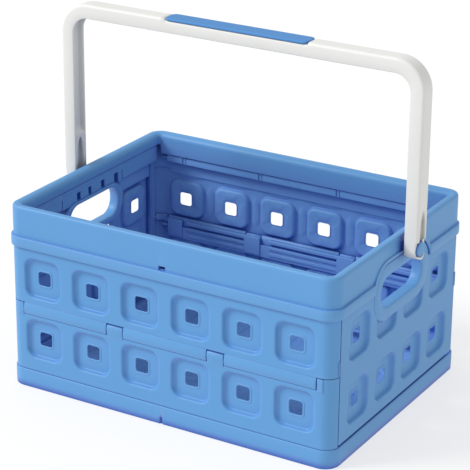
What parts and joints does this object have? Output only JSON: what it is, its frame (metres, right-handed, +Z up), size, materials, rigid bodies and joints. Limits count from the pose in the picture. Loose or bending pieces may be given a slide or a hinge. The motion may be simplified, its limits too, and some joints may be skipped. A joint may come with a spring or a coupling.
{
  "type": "collapsible storage crate",
  "caption": "Folding plastic storage crate with square-windowed hinged walls, a rim frame, a tray base and a white swinging bail handle with a blue grip.",
  "frame": {"origin": "middle of the footprint, on the surface the crate stands on", "axes": "+X along the long sides, -Y out of the front long side, +Z up"},
  "size_m": [0.4632, 0.3162, 0.4195],
  "materials": {
    "blue_shell": "moulded polypropylene, satin",
    "white_handle": "moulded polypropylene, satin",
    "blue_grip": "soft moulded grip, matt"
  },
  "bodies": {
    "crate": {"base_tray": "blue_shell", "front_lower_wall": "blue_shell", "back_lower_wall": "blue_shell", "front_upper_wall": "blue_shell", "back_upper_wall": "blue_shell", "rim_frame": "blue_shell", "front_base_hinge_rod": "blue_shell", "back_base_hinge_rod": "blue_shell", "front_middle_hinge_rod": "blue_shell", "back_middle_hinge_rod": "blue_shell", "front_rim_hinge_rod": "blue_shell", "back_rim_hinge_rod": "blue_shell", "right_end_hinge_rod": "blue_shell", "left_end_hinge_rod": "blue_shell"},
    "right_end": {"right_end_wall": "blue_shell"},
    "left_end": {"left_end_wall": "blue_shell"},
    "handle": {"handle_bail": "white_handle", "grip_insert": "blue_grip"}
  },
  "joints": [
    {"name": "right_end_fold", "type": "hinge", "parent": "crate", "child": "right_end", "pos_m": [0.2022, 0, 0.201], "axis": [0, 1, 0], "range_deg": [0, 90]},
    {"name": "left_end_fold", "type": "hinge", "parent": "crate", "child": "left_end", "pos_m": [-0.2022, 0, 0.201], "axis": [0, -1, 0], "range_deg": [0, 90]},
    {"name": "handle_swing", "type": "hinge", "parent": "crate", "child": "handle", "pos_m": [0, 0, 0.206], "axis": [1, 0, 0], "range_deg": [-122, 122]}
  ]
}
